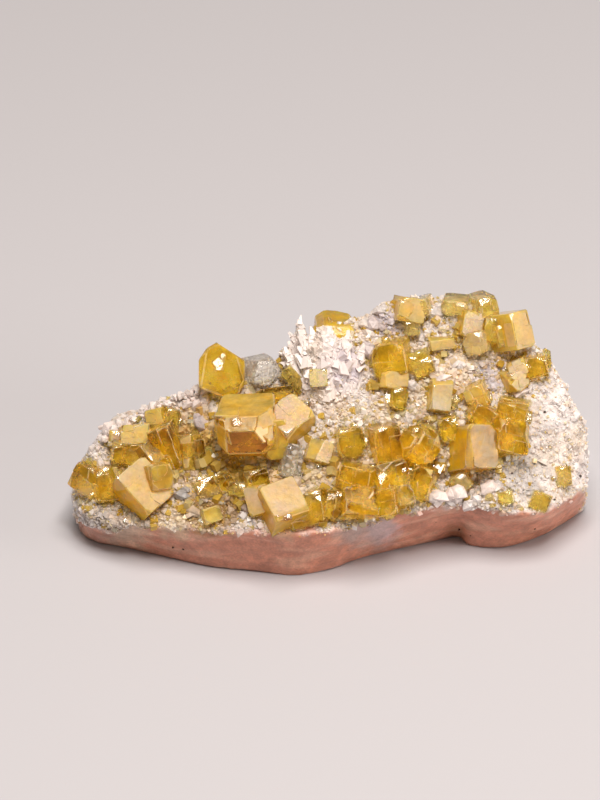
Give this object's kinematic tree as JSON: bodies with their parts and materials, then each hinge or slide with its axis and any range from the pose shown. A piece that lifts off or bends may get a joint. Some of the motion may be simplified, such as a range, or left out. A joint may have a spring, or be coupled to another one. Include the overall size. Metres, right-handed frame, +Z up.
{
  "type": "fluorite cluster",
  "caption": "Hand specimen of honey-yellow cubic fluorite crystals grown over the sloping face of a wedge of white granular stone with a jagged white crest.",
  "frame": {"origin": "under the middle of the specimen's bounding box, on the flat underside that it stands on", "axes": "+X along the specimen's length, from the low tip to the high end; +Z up, away from the flat underside; the crystal face looks towards -Y and upwards"},
  "size_m": [0.0501, 0.0251, 0.0219],
  "materials": {
    "stone": "granular, sugary, with a smoother broken front edge",
    "fluorite": "glassy cube faces, honey-yellow to amber inside",
    "quartz": "cloudy grey, glossy"
  },
  "bodies": {
    "root": {"matrix": "stone", "fluorite_left": "fluorite", "fluorite_left_low": "fluorite", "fluorite_peak": "fluorite", "fluorite_twin": "fluorite", "fluorite_olive": "fluorite", "fluorite_front": "fluorite", "fluorite_green": "fluorite", "fluorite_beige": "fluorite", "fluorite_crest": "fluorite", "fluorite_crest_patch": "fluorite", "fluorite_high_mid": "fluorite", "fluorite_pale_mid": "fluorite", "fluorite_streak": "fluorite", "fluorite_top": "fluorite", "fluorite_top_right": "fluorite", "fluorite_right_high": "fluorite", "fluorite_right_low": "fluorite", "fluorite_right_edge": "fluorite", "fluorite_right_speck": "fluorite", "quartz_knob": "quartz", "quartz_grey": "quartz"}
  },
  "joints": []
}
